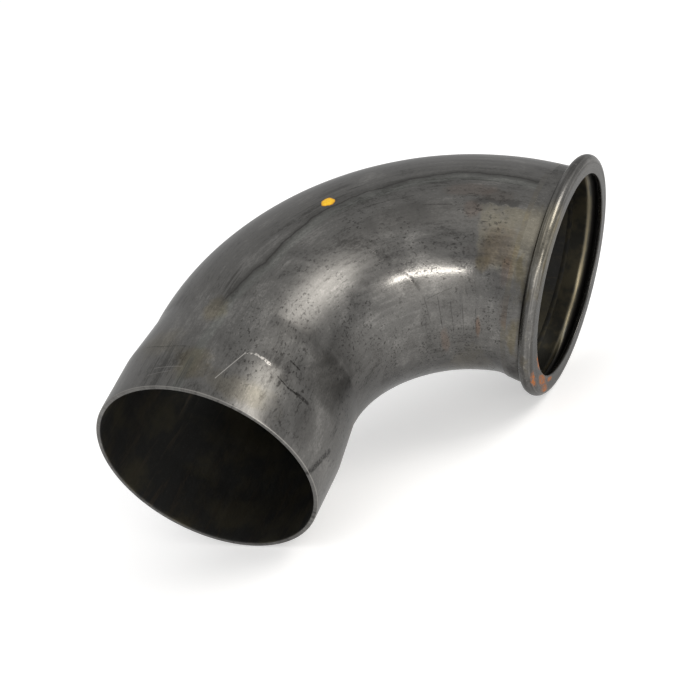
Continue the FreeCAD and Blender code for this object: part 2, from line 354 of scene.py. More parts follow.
def section_lengths(points):
    """The distance of each section point along the section."""
    steps = [0.0] + [math.dist(a, b) for a, b in zip(points, points[1:])]
    return np.cumsum(steps)


# ---------------------------------------------------------------- pieces
def make_tube():
    """The bent tube: outer skin with its marks, rounded rim, plain bore and cut end."""
    rim_run = MOUTH_RUN - RIM_ARC
    outer_runs = np.insert(np.linspace(0, rim_run, 320), 1, EDGE_ROW)
    bore_runs = np.insert(np.linspace(rim_run, 0, 130), -1, EDGE_ROW)
    rim_outer = [(rim_run + RIM_ARC * math.sin(angle), COLLAR_R - RIM_ARC * (1 - math.cos(angle)))
                 for angle in np.radians((30, 60, 90))]
    rim_inner = [(run, COLLAR_BORE + COLLAR_R - radius) for run, radius in reversed(rim_outer)]
    runs = [*outer_runs, *(run for run, _ in rim_outer + rim_inner), *bore_runs]
    radii = [*(TUBE_R + shoulder_rise(outer_runs)), *(radius for _, radius in rim_outer + rim_inner),
             *(TUBE_R - WALL + shoulder_rise(bore_runs))]
    run_grid = np.asarray(runs)[:, None]
    outside = (np.arange(len(runs)) < len(outer_runs))[:, None]
    relief = outside * tube_relief(run_grid, TURNS)
    relief = relief * (1 - smooth(run_grid, MOUTH_RUN - 4 * MM, rim_run))
    relief = relief + neck_swell(run_grid, TURNS)
    # The mouth is a hair out of round, as cut and expanded tube is.
    relief = relief + OUT_OF_ROUND * smooth(run_grid, BEND_RUN, MOUTH_RUN) * np.cos(2 * TURNS + 0.6)
    piece = closed_sweep("tube_body", runs, radii, relief, [-1])
    outside_rows = len(outer_runs) + len(rim_outer) + 1
    return give_materials(piece, outside_rows, tube_steel(), bore_steel())


def make_weld():
    """The dressed butt weld: almost flush outside, a low rippled bead inside."""
    half = WELD_WIDTH / 2
    near_end = EDGE_ROW / WELD_WIDTH
    shares = [0, near_end, *np.linspace(0, 1, 9)[1:-1], 1 - near_end, 1]
    outer = [(-WELD_WIDTH * share, TUBE_R + WELD_CROWN * math.sin(math.pi * share) ** 2)
             for share in shares]
    inner = [(-WELD_WIDTH * share, TUBE_R - WALL - WELD_ROOT * math.sin(math.pi * share))
             for share in reversed(shares)]
    runs = [run for run, _ in outer + inner]
    radii = [radius for _, radius in outer + inner]
    run_grid = np.asarray(runs)[:, None]
    is_inner = (np.arange(len(runs)) >= len(outer))[:, None]
    crown = np.clip(1 - ((run_grid + half) / half) ** 2, 0, 1)
    height = np.where(is_inner, ROOT_RIPPLE, DRESSED_RIPPLE)
    ripple = height * crown * np.sin(TURNS * RIPPLE_COUNT + 1.5 * run_grid / half)
    relief = neck_swell(run_grid, TURNS) + ripple
    piece = closed_sweep("weld_bead", runs, radii, relief, [len(outer) - 1, -1])
    return give_materials(piece, len(outer), weld_steel(), root_steel())


def flange_section():
    """The ring's closed section: neck, hollow corner, bead, face and lip, then back inside.

    Returns the points, and how many of them lie on the outside.
    """
    tilt = math.degrees(math.atan2(CORNER_LIFT, BEAD_STATION - NECK_END))
    neck = [(WELD_WIDTH, TUBE_R), (WELD_WIDTH + EDGE_ROW, TUBE_R)]
    valley = arc_points((NECK_END, CORNER_CENTRE), VALLEY_ARC, 270, 360 + tilt, 12)
    bead = arc_points((BEAD_STATION, BEAD_CENTRE), BEAD_ARC, 180 + tilt, 0, 48)
    lip = arc_points((REACH - LIP_ARC, LIP_R + LIP_ARC), LIP_ARC, 0, -90, 5)
    outside = dense(neck + valley + bead[1:] + lip, SECTION_STEP)
    lip_back = arc_points((REACH - WALL + LIP_ARC, LIP_R + LIP_ARC), LIP_ARC, -90, -180, 5)
    groove = arc_points((BEAD_STATION, BEAD_CENTRE), BEAD_ARC - WALL, 0, 180 + tilt, 20)
    throat = arc_points((NECK_END, CORNER_CENTRE), VALLEY_ARC + WALL, 360 + tilt, 270, 22)
    neck_bore = [(WELD_WIDTH + EDGE_ROW, TUBE_R - WALL), (WELD_WIDTH, TUBE_R - WALL)]
    inside = dense(lip_back + groove + throat[1:] + neck_bore, SECTION_STEP)
    return outside + inside, len(outside)


def make_flange():
    """The rolled ring, its neck swollen low down and its lip a little off centre."""
    points, outside_rows = flange_section()
    stations, radii = (column[:, None] for column in np.asarray(points).T)
    below_crest = np.clip((BEAD_R - radii) / (BEAD_R - TUBE_R), 0, 1)
    relief = neck_swell(-stations, TURNS) * below_crest
    past_weld = smooth(stations, WELD_WIDTH, WELD_WIDTH + 4 * MM)
    unevenness = 0.04 * MM * waves(41, -stations, TURNS, 40 * MM, 60, 3)
    relief = relief + unevenness * below_crest * past_weld
    face_depth = np.clip((BEAD_CENTRE - radii) / (BEAD_CENTRE - LIP_R), 0, 1)
    on_face = stations > REACH - WALL - 0.1 * MM
    relief = relief + LIP_SHIFT * on_face * face_depth * np.cos(TURNS - LIP_SHIFT_TURN)
    piece = closed_sweep("flange_ring", -stations[:, 0], radii[:, 0], relief,
                         [-1], section_lengths(points))
    return give_materials(piece, outside_rows, flange_steel(), flange_inside())


# The paint dab: its radius, the rise of its film, how high its rim stands and how deep it
# reaches into the steel. Each of its two sides has this many rings and spokes of points.
DAB_R = 3.8 * MM
DAB_FILM = 0.16 * MM
DAB_RIM = 0.05 * MM
DAB_ROOT = -0.06 * MM
BRISTLE_STEP = 0.35 * MM
DAB_RINGS, DAB_SPOKES = 14, 72


def dab_points():
    """The dab's top side and then its underside, ring by ring from the middle."""
    low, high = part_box("paint_mark")
    centre = (low + high) / 2
    from_bend = Vector((centre.x + REACH, centre.y + BEND_R, 0))
    mid_run = math.atan2(-from_bend.x, from_bend.y) * BEND_R
    mid_turn = math.atan2(centre.z, from_bend.length - BEND_R)
    points = []
    for is_top in (True, False):
        for ring in range(DAB_RINGS + 1):
            share = ring / DAB_RINGS
            for spoke in range(DAB_SPOKES):
                angle = 2 * math.pi * spoke / DAB_SPOKES
                ragged = (1 + 0.05 * math.sin(3 * angle + 1) + 0.04 * math.sin(5 * angle)
                          + 0.02 * math.sin(11 * angle))
                run = mid_run + DAB_R * share * ragged * math.cos(angle)
                aside = DAB_R * share * ragged * math.sin(angle)
                turn = mid_turn + aside / TUBE_R
                base = TUBE_R + float(tube_relief(np.array(run), np.array(turn)))
                rise = DAB_FILM * (1 - share ** 4) * (1 + 0.25 * math.sin(aside / BRISTLE_STEP))
                height = DAB_RIM + rise if is_top else DAB_ROOT
                points.append(place_on_path(run, turn, base + height).tolist())
    return points


def dab_faces():
    """The faces of both sides, and the strip that joins them at the rim."""
    side = (DAB_RINGS + 1) * DAB_SPOKES
    edge = DAB_RINGS * DAB_SPOKES
    faces = []
    for ring in range(DAB_RINGS):
        near, far = ring * DAB_SPOKES, (ring + 1) * DAB_SPOKES
        for spoke in range(DAB_SPOKES):
            following = (spoke + 1) % DAB_SPOKES
            rim_deburr_and_highlight = [near + spoke, far + spoke, far + following, near + following]
            faces.append(rim_deburr_and_highlight)
            faces.append([corner + side for corner in rim_deburr_and_highlight])
    for spoke in range(DAB_SPOKES):
        following = (spoke + 1) % DAB_SPOKES
        faces.append([edge + spoke, edge + following, side + edge + following, side + edge + spoke])
    return faces


def make_paint():
    """A brushed dab of paint that follows the crown, thick in the middle, thin at its rim."""
    mesh = bpy.data.meshes.new("paint_dab")
    mesh.from_pydata(dab_points(), [], dab_faces())
    shares = np.repeat(np.linspace(0, 1, DAB_RINGS + 1), DAB_SPOKES)
    from_middle = mesh.attributes.new("from_middle", "FLOAT", "POINT")
    from_middle.data.foreach_set("value", np.tile(shares, 2).astype(np.float32))
    work = bmesh.new()
    work.from_mesh(mesh)
    bmesh.ops.remove_doubles(work, verts=work.verts, dist=0.001 * MM)
    bmesh.ops.recalc_face_normals(work, faces=work.faces)
    work.to_mesh(mesh)
    work.free()
    mesh.polygons.foreach_set("use_smooth", np.ones(len(mesh.polygons), bool))
    piece = link("paint_dab", mesh)
    piece.data.materials.append(yellow_paint())
    return piece


# ---------------------------------------------------------------- shader helpers
class Shader:
    """A material's nodes, built by short calls that each return an output socket."""

    def __init__(self, name):
        self.material = bpy.data.materials.new(name)
        self.material.use_nodes = True
        self.nodes = self.material.node_tree.nodes
        self.links = self.material.node_tree.links
        self.bsdf = self.nodes["Principled BSDF"]

    def feed(self, socket, value):
        if isinstance(value, bpy.types.NodeSocket):
            self.links.new(value, socket)
        else:
            socket.default_value = value

    def node(self, kind, inputs, **settings):
        made = self.nodes.new(kind)
        for key, value in settings.items():
            setattr(made, key, value)
        for key, value in inputs.items():
            self.feed(made.inputs[key], value)
        return made

    def attribute(self, name, output="Vector"):
        return self.node("ShaderNodeAttribute", {}, attribute_name=name).outputs[output]

    def scaled(self, vector, scale):
        return self.node("ShaderNodeVectorMath", {0: vector, 1: scale}, operation="MULTIPLY").outputs[0]

    def noise(self, vector, scale, detail=4.0, rough=0.55, distort=0.0):
        return self.node("ShaderNodeTexNoise", {
            "Vector": vector, "Scale": scale, "Detail": detail, "Roughness": rough,
            "Distortion": distort}).outputs["Fac"]

    def math(self, operation, first, second=0.0, third=0.0):
        inputs = {0: first, 1: second, 2: third}
        return self.node("ShaderNodeMath", inputs, operation=operation).outputs[0]

    def times(self, first, second):
        return self.math("MULTIPLY", first, second)

    def length(self, x, y):
        squares = self.math("ADD", self.times(x, x), self.times(y, y))
        return self.math("SQRT", squares)

    def band(self, value, low, high, out_low=0.0, out_high=1.0):
        """An even S from out_low, where the value is low, to out_high, where it is high."""
        made = self.node("ShaderNodeMapRange", {
            "Value": value, "From Min": low, "From Max": high, "To Min": out_low, "To Max": out_high},
            interpolation_type="SMOOTHSTEP")
        return made.outputs["Result"]

    def blend(self, factor, first, second, mode="MIX"):
        made = self.node("ShaderNodeMix", {}, data_type="RGBA", blend_type=mode)
        self.feed(made.inputs["Factor"], factor)
        self.feed(made.inputs["A"], first)
        self.feed(made.inputs["B"], second)
        return made.outputs["Result"]

    def split(self, vector):
        return self.node("ShaderNodeSeparateXYZ", {"Vector": vector}).outputs

    def spot(self, unrolled, run, across, long, wide, warp):
        """A soft-edged patch at a place on the unrolled surface, with a ragged outline."""
        x, y, _ = self.split(unrolled)
        dx = self.math("DIVIDE", self.math("SUBTRACT", x, run), long)
        dy = self.math("DIVIDE", self.math("SUBTRACT", y, across), wide)
        away = self.length(dx, dy)
        shift = self.times(self.math("SUBTRACT", warp, 0.5), 1.6)
        ragged = self.math("ADD", away, shift)
        return self.band(ragged, 1.15, 0.45)

    def line(self, unrolled, start, end, width):
        """A thin line between two places on the unrolled surface."""
        x, y, _ = self.split(unrolled)
        run, across = end[0] - start[0], end[1] - start[1]
        length_squared = run * run + across * across
        px = self.math("SUBTRACT", x, start[0])
        py = self.math("SUBTRACT", y, start[1])
        dot = self.math("ADD", self.times(px, run), self.times(py, across))
        share = self.math("DIVIDE", dot, length_squared)
        share = self.node("ShaderNodeClamp", {"Value": share}).outputs[0]
        qx = self.math("SUBTRACT", px, self.times(share, run))
        qy = self.math("SUBTRACT", py, self.times(share, across))
        away = self.length(qx, qy)
        return self.band(away, width, width * 0.3)

    def finish(self, colour, rough, height, depth, metallic=1.0, edge=1.0):
        """Join the shader up; edge is how bright the metal turns when seen edge-on."""
        self.feed(self.bsdf.inputs["Base Color"], colour)
        self.feed(self.bsdf.inputs["Roughness"], rough)
        self.feed(self.bsdf.inputs["Metallic"], metallic)
        self.feed(self.bsdf.inputs["Specular Tint"], (edge, edge, edge, 1))
        relief = self.node("ShaderNodeBump", {"Height": height, "Distance": depth, "Strength": 1.0})
        self.feed(self.bsdf.inputs["Normal"], relief.outputs["Normal"])
        return self.material


def around(turn_degrees):
    """The unrolled distance of a turn from the crown."""
    return math.radians((turn_degrees + 90) % 360 - 180) * TUBE_R


# ---------------------------------------------------------------- materials
# Opaque tones of the steel, its scale, its rust and the dirt on it; DARK and BLACK also serve as
# painted shade.
DARK = (0.063, 0.061, 0.058, 1)
MIDDLE = (0.119, 0.116, 0.111, 1)
LIGHT = (0.200, 0.195, 0.186, 1)
BLACK = (0.018, 0.017, 0.016, 1)
BARE = (0.420, 0.405, 0.380, 1)
RUST = (0.300, 0.095, 0.020, 1)
# The bore's oxide, and the weld's root in it.
OXIDE = (0.032, 0.032, 0.031, 1)
OXIDE_GREEN = (0.058, 0.053, 0.038, 1)
OXIDE_BROWN = (0.088, 0.073, 0.055, 1)
OXIDE_GREY = (0.060, 0.060, 0.056, 1)
SOOT = (0.018, 0.018, 0.017, 1)
SOOT_GREEN = (0.034, 0.030, 0.020, 1)
# Inside the ring: its oxide, and the straw-coloured painted highlight on the crest.
RING_OXIDE = (0.050, 0.049, 0.042, 1)
RING_OLIVE = (0.095, 0.085, 0.058, 1)
RING_CREST_HIGHLIGHT = (0.150, 0.128, 0.085, 1)
# The paint, thick and thin, and the dirt that its rim holds.
PAINT = (0.76, 0.46, 0.018, 1)
PAINT_THIN = (0.66, 0.36, 0.012, 1)
PAINT_RIM = (0.36, 0.15, 0.012, 1)
# Films that colour the steel under them.
STRAW = (1.42, 1.34, 1.10, 1)
OLIVE = (0.95, 0.86, 0.64, 1)
BROWN = (0.82, 0.74, 0.69, 1)
REDDISH = (1.10, 0.86, 0.74, 1)
PALE = (1.12, 1.16, 1.14, 1)
# Lightens the steel, partly as polish and partly as a painted highlight.
POLISH_AND_HIGHLIGHT = (1.14, 1.14, 1.12, 1)
FACE_DARKENING = (0.62, 0.62, 0.62, 1)

# The tube's skin: how deep its grain is, and how bright it stays when seen edge-on.
SKIN_DEPTH = 0.024 * MM
SKIN_EDGE = 0.82


class Steel(Shader):
    """Bare, oily, drawn steel: soft clouds, faint lengthwise streaks and a fine grain."""

    def __init__(self, name, along=0.06):
        super().__init__(name)
        self.straight = self.attribute("straight")
        self.unrolled = self.attribute("unrolled")
        self.run, self.across, _ = self.split(self.unrolled)
        self.clouds = self.noise(self.scaled(self.straight, (0.7, 1, 1)), 32, 6, 0.65, 0.7)
        self.streaks = self.noise(self.scaled(self.straight, (along, 1, 1)), 380, 4, 0.6, 0.2)
        self.grain = self.noise(self.scaled(self.straight, (0.45, 1, 1)), 1100, 4, 0.7)
        tone = self.times(self.clouds, 0.55)
        tone = self.math("MULTIPLY_ADD", self.streaks, 0.18, tone)
        tone = self.math("MULTIPLY_ADD", self.grain, 0.27, tone)
        self.colour = self.blend(self.band(tone, 0.38, 0.50), DARK, MIDDLE)
        self.colour = self.blend(self.band(tone, 0.50, 0.64), self.colour, LIGHT)
        self.rough = self.band(self.clouds, 0.3, 0.7, 0.30, 0.40)
        faint = self.times(self.streaks, 0.2)
        self.height = self.math("MULTIPLY_ADD", self.grain, 0.75, faint)

    def cover(self, mask, paint, strength=1.0):
        """Lay a colour over the steel where the mask is on."""
        self.colour = self.blend(self.times(mask, strength), self.colour, paint)

    def film(self, mask, paint, strength=1.0):
        """Colour the steel through a thin film, so its grain still shows."""
        self.colour = self.blend(self.times(mask, strength), self.colour, paint, "MULTIPLY")

    def gouge(self, mask, depth):
        self.height = self.math("MULTIPLY_ADD", mask, -depth, self.height)

    def patch(self, run, turn, long, wide, warp):
        """A ragged patch at a run and turn: lengths in mm, and the turn in degrees."""
        return self.spot(self.unrolled, run * MM, around(turn), long * MM, wide * MM, warp)

    def mark(self, start, end, width):
        """A line from one (run, turn) to another: lengths in mm, and turns in degrees."""
        return self.line(self.unrolled, (start[0] * MM, around(start[1])),
                         (end[0] * MM, around(end[1])), width * MM)


# Stains: run and turn of the middle, half length and half width, film and its strength.
STAINS = (
    (13, 124, 20, 15, BROWN, 0.80), (24, 133, 7, 5, OLIVE, 0.45), (3, 136, 6, 9, REDDISH, 0.45),
    (20, 95, 12, 5, BROWN, 0.45), (34, 104, 7, 6, REDDISH, 0.40),
    (-10, 158, 13, 16, REDDISH, 0.60), (64, 177, 6, 12, REDDISH, 0.55),
    (26, 169, 3, 8, REDDISH, 0.90), (36, 92, 16, 5, REDDISH, 0.30),
    (208, 78, 12, 8, OLIVE, 0.65), (252, 82, 14, 12, OLIVE, 0.65),
    (258, 112, 10, 22, OLIVE, 0.35), (236, 56, 14, 16, OLIVE, 0.35),
    (40, 205, 26, 24, OLIVE, 0.40), (215, 205, 26, 24, REDDISH, 0.35),
    (80, 20, 60, 24, OLIVE, 0.30), (150, 320, 60, 40, OLIVE, 0.30))


def add_stains(steel):
    """Heat tint near the weld, with a sharp edge where the heat stopped, and oil stains."""
    warp = steel.noise(steel.straight, 75, 4, 0.6)
    fine_warp = steel.noise(steel.straight, 190, 4, 0.6)
    edge = steel.times(steel.math("SUBTRACT", fine_warp, 0.5), 9 * MM)
    ragged_run = steel.math("ADD", steel.run, edge)
    ragged_across = steel.math("ADD", steel.across, edge)
    tint = steel.times(steel.band(ragged_run, 31 * MM, 27 * MM),
                       steel.band(ragged_run, -18 * MM, -8 * MM))
    tint = steel.times(tint, steel.band(ragged_across, around(99.5), around(103)))
    tint = steel.times(tint, steel.band(ragged_across, around(139), around(131)))
    mottle = steel.band(steel.noise(steel.straight, 110, 4, 0.6), 0.35, 0.6, 0.45, 1.0)
    steel.film(steel.times(tint, mottle), STRAW, 0.75)
    upper_edge = steel.times(steel.band(ragged_across, around(96.5), around(98)),
                             steel.band(ragged_across, around(101.5), around(100)))
    upper_edge = steel.times(upper_edge, steel.band(ragged_run, 3 * MM, 8 * MM))
    upper_edge = steel.times(upper_edge, steel.band(ragged_run, 38 * MM, 30 * MM))
    steel.cover(upper_edge, DARK, 0.75)
    for run, turn, long, wide, tone, strength in STAINS:
        steel.film(steel.patch(run, turn, long, wide, warp), tone, strength)


def add_seam(steel):
    """The tube's own weld seam: a dark ragged line beside a paler dressed band."""
    off_seam = steel.attribute("off_seam", "Fac")
    on_bend = steel.band(steel.run, 208 * MM, 188 * MM)
    pale = steel.times(steel.band(off_seam, 0.2 * MM, 1.5 * MM),
                       steel.band(off_seam, 8 * MM, 5.5 * MM))
    steel.film(pale, PALE, 0.8)
    uneven = steel.math("SUBTRACT", steel.noise(steel.straight, 420, 4, 0.6), 0.5)
    jitter = steel.times(uneven, 2.2 * MM)
    ragged = steel.math("ABSOLUTE", steel.math("ADD", off_seam, jitter))
    gaps = steel.noise(steel.scaled(steel.straight, (0.6, 1, 1)), 90, 3)
    gaps = steel.band(gaps, 0.34, 0.50, 0.55, 1.0)
    line = steel.times(steel.band(ragged, 0.70 * MM, 0.3 * MM), gaps)
    line = steel.times(line, on_bend)
    steel.cover(line, BLACK)
    smudge = steel.times(steel.band(ragged, 4.5 * MM, 0), on_bend)
    steel.cover(steel.times(smudge, gaps), DARK, 0.8)
    steel.gouge(line, 0.5)


# Drifts of pits: run and turn of the middle, half length and half width.
PIT_DRIFTS = ((241, 109, 8, 7), (241, 139, 6, 7), (226, 127, 14, 7), (190, 116, 16, 10))


def add_pits(steel):
    """Dark pits and specks in drifts, thickest on the burnished side and the collar."""
    drift = steel.band(steel.noise(steel.straight, 42, 4, 0.6, 0.8), 0.44, 0.58, 0.15, 1.0)
    for run, turn, long, wide in PIT_DRIFTS:
        patch = steel.patch(run, turn, long, wide, drift)
        drift = steel.math("MULTIPLY_ADD", patch, 0.8, drift)
    drift = steel.math("MINIMUM", drift, 1.4)
    inner = steel.band(steel.across, -6 * MM, 14 * MM, 0.12, 1.0)
    fine = steel.noise(steel.scaled(steel.straight, (0.55, 1, 1)), 700, 2, 0.5)
    coarse = steel.noise(steel.scaled(steel.straight, (0.5, 1, 1)), 300, 3, 0.6)
    pits = steel.math("MAXIMUM", steel.band(fine, 0.575, 0.655), steel.band(coarse, 0.64, 0.69))
    pits = steel.times(steel.times(pits, drift), inner)
    steel.cover(pits, BLACK, 0.6)
    steel.gouge(pits, 0.5)


def add_tool_marks(steel):
    """Close lengthwise draw marks on the outer side, where the pressure die rubbed."""
    lines = steel.noise(steel.scaled(steel.straight, (0.03, 1, 1)), 520, 3, 0.6)
    place = steel.noise(steel.scaled(steel.straight, (0.5, 1, 1)), 34, 3, 0.5)
    mask = steel.times(steel.band(lines, 0.52, 0.62), steel.band(place, 0.50, 0.60))
    mask = steel.times(mask, steel.band(steel.across, 2 * MM, -14 * MM))
    steel.cover(mask, DARK, 0.75)


# Marks on the steel: both ends as (run, turn), then the width and, where it varies, strength.
BRIGHT_SCRATCHES = (
    ((258, 97.0), (235.4, 104.0), 0.34, 0.70), ((257, 64), (255, 79), 0.40, 0.22),
    ((262, 62), (259, 74), 0.30, 0.20))
# The hook at the long scratch's end, where the tool chattered.
CHATTERED_HOOK = (
    ((235.2, 104.2), (233.0, 108.5), 0.75), ((233.0, 108.5), (233.6, 112.5), 1.1),
    ((233.6, 112.5), (234.6, 116.5), 1.5))
# The crack of scale, the gashes on the collar and tube, and painted shade lines beside the wrinkles,
# one across each.
DARK_MARKS_AND_WRINKLE_SHADE = (
    ((239.2, 122.9), (241.3, 129.6), 0.60, 0.95), ((241.3, 129.6), (241.0, 135.0), 0.95, 0.95),
    ((240.6, 135.0), (240.4, 142.0), 1.7, 0.80), ((224.6, 125.0), (226.0, 130.8), 0.75, 0.90),
    ((237.0, 48.0), (240.3, 62.0), 0.5, 0.55), ((240.3, 62.0), (240.2, 77.0), 0.4, 0.45),
    ((270.0, 162.2), (247.4, 169.2), 2.4, 0.85), ((92.5, 132.6), (83.5, 144.0), 1.5, 0.40),
    ((66.0, 100.0), (48.0, 101.5), 0.5, 0.40), ((42.0, 84.5), (8.0, 86.0), 0.5, 0.45),
    ((104.0, 92.0), (70.0, 93.0), 0.45, 0.35), ((78.0, 150.0), (52.0, 146.0), 0.4, 0.40),
    # Painted shade: a dark line beside each wrinkle across the inside of the bend.
    ((80.5, 149.0), (78.5, 163.0), 0.8, 0.40), ((67.0, 150.0), (66.0, 168.0), 0.7, 0.50),
    ((54.5, 154.0), (53.5, 172.0), 0.7, 0.50), ((42.5, 155.0), (42.0, 174.0), 0.8, 0.40),
    ((28.5, 158.0), (28.0, 172.0), 0.7, 0.45))


def add_scratches(steel):
    """Handling marks: bright scratches and scuffs, and dark cracks and rubbed streaks; also painted
    shade lines beside the wrinkles.
    """
    ragged = steel.noise(steel.straight, 800, 3, 0.6)
    for start, end, width, strength in BRIGHT_SCRATCHES:
        steel.cover(steel.mark(start, end, width), BARE, strength)
    chatter = steel.band(steel.noise(steel.straight, 950, 1, 0.4), 0.43, 0.54)
    for start, end, width in CHATTERED_HOOK:
        mark = steel.times(steel.mark(start, end, width), chatter)
        steel.cover(mark, BARE, 0.85)
        steel.gouge(mark, 0.3)
    # Dark marks, the last five of them painted shade beside the wrinkles.
    for start, end, width, strength in DARK_MARKS_AND_WRINKLE_SHADE:
        broken = steel.band(ragged, 0.38, 0.52, 0.35, 1.0)
        mark = steel.times(steel.mark(start, end, width), broken)
        steel.cover(mark, BLACK, strength)
        steel.gouge(mark, 0.4)


# Darker patches along the crown's inner side and round the shoulder's start, partly scale and
# partly painted shade where the steel reflects darker surroundings between highlights: run and
# turn of the middle, half length and half width, strength.
SCALE_AND_SHADE_PATCHES = (
    (80, 104, 46, 9, 0.55), (203, 124, 12, 16, 0.65), (185, 146, 22, 14, 0.35),
    (222, 150, 16, 16, 0.35), (252, 147, 15, 12, 0.50))
# The top of the collar is painted lighter, partly as steel that handling polished and partly as a
# painted highlight: run and turn, half length and half width.
POLISH_AND_HIGHLIGHT_PATCHES = ((247, 119, 12, 10), (262, 120, 14, 7))


def tube_steel():
    """The tube's outside and rim, with every mark that making and handling left on it, and painted
    highlight and shade in places.
    """
    steel = Steel("tube_steel")
    # The inside of the bend was burnished by the bending die.
    burnish = steel.times(steel.band(steel.across, 12 * MM, 48 * MM),
                          steel.band(steel.run, 200 * MM, 110 * MM))
    steel.rough = steel.math("MULTIPLY_ADD", burnish, -0.08, steel.rough)
    crest = steel.times(steel.band(steel.across, around(126), around(131)),
                        steel.band(steel.across, around(142), around(137)))
    crest = steel.times(crest, steel.band(steel.run, 118 * MM, 100 * MM))
    steel.rough = steel.math("MULTIPLY_ADD", crest, -0.13, steel.rough)
    add_stains(steel)
    scale = steel.noise(steel.scaled(steel.straight, (0.4, 1, 1)), 80, 5, 0.65)
    # Painted shade, partly real scale: darker patches between highlights.
    for run, turn, long, wide, strength in SCALE_AND_SHADE_PATCHES:
        steel.cover(steel.patch(run, turn, long, wide, scale), DARK, strength)
    # Painted highlight, partly real polish: lighter patches on the top of the collar.
    highlight_warp = steel.noise(steel.scaled(steel.straight, (0.5, 1, 1)), 130, 4, 0.6)
    for run, turn, long, wide in POLISH_AND_HIGHLIGHT_PATCHES:
        steel.film(steel.patch(run, turn, long, wide, highlight_warp), POLISH_AND_HIGHLIGHT, 0.8)
    add_tool_marks(steel)
    add_seam(steel)
    add_pits(steel)
    add_scratches(steel)
    # The cut rim's corners are painted bright, partly as deburred steel and partly as a painted
    # highlight along its edges; the cut itself is not.
    rim_deburr_and_highlight = steel.times(steel.band(steel.run, MOUTH_RUN - 0.75 * MM, MOUTH_RUN - 0.55 * MM),
                          steel.band(steel.run, MOUTH_RUN - 0.05 * MM, MOUTH_RUN - 0.25 * MM))
    steel.cover(rim_deburr_and_highlight, BARE, 0.35)
    return steel.finish(steel.colour, steel.rough, steel.height, SKIN_DEPTH, edge=SKIN_EDGE)


def bore_steel():
    """The bore: dark oxide, mottled brown and green, with faint lengthwise streaks."""
    shader = Shader("bore_steel")
    straight = shader.attribute("straight")
    streaks = shader.noise(shader.scaled(straight, (0.15, 1, 1)), 210, 5, 0.65, 0.6)
    clouds = shader.noise(straight, 34, 5, 0.6)
    grain = shader.noise(straight, 700, 3, 0.6)
    colour = shader.blend(shader.band(clouds, 0.42, 0.62), OXIDE, OXIDE_GREEN)
    colour = shader.blend(shader.band(streaks, 0.50, 0.72, 0, 0.5), colour, OXIDE_BROWN)
    colour = shader.blend(shader.band(grain, 0.55, 0.72, 0, 0.4), colour, OXIDE_GREY)
    rough = shader.band(streaks, 0.3, 0.7, 0.58, 0.46)
    return shader.finish(colour, rough, grain, 0.04 * MM, metallic=0.85)


def weld_steel():
    """The weld, dressed flush: the same steel with straw heat tint."""
    steel = Steel("weld_steel")
    add_stains(steel)
    steel.film(steel.band(steel.clouds, 0.45, 0.6, 0.1, 0.5), OLIVE)
    return steel.finish(steel.colour, steel.rough, steel.height, SKIN_DEPTH, edge=SKIN_EDGE)


def root_steel():
    """The weld's root inside the bore, as dark as the bore round it."""
    shader = Shader("root_steel")
    clouds = shader.noise(shader.attribute("straight"), 120, 4, 0.6)
    colour = shader.blend(shader.band(clouds, 0.4, 0.6), SOOT, SOOT_GREEN)
    return shader.finish(colour, 0.55, clouds, 0.03 * MM, metallic=0.85)


# Rust on the ring's outside: distance along the section from the weld and turn of the
# middle, half length and half width.
RUST_SPOTS = (
    (26.0, 195, 2.2, 9), (31.8, 212, 3.4, 12), (28.4, 222, 2.6, 8), (34.2, 191, 1.2, 10),
    (33.0, 229, 1.6, 6))


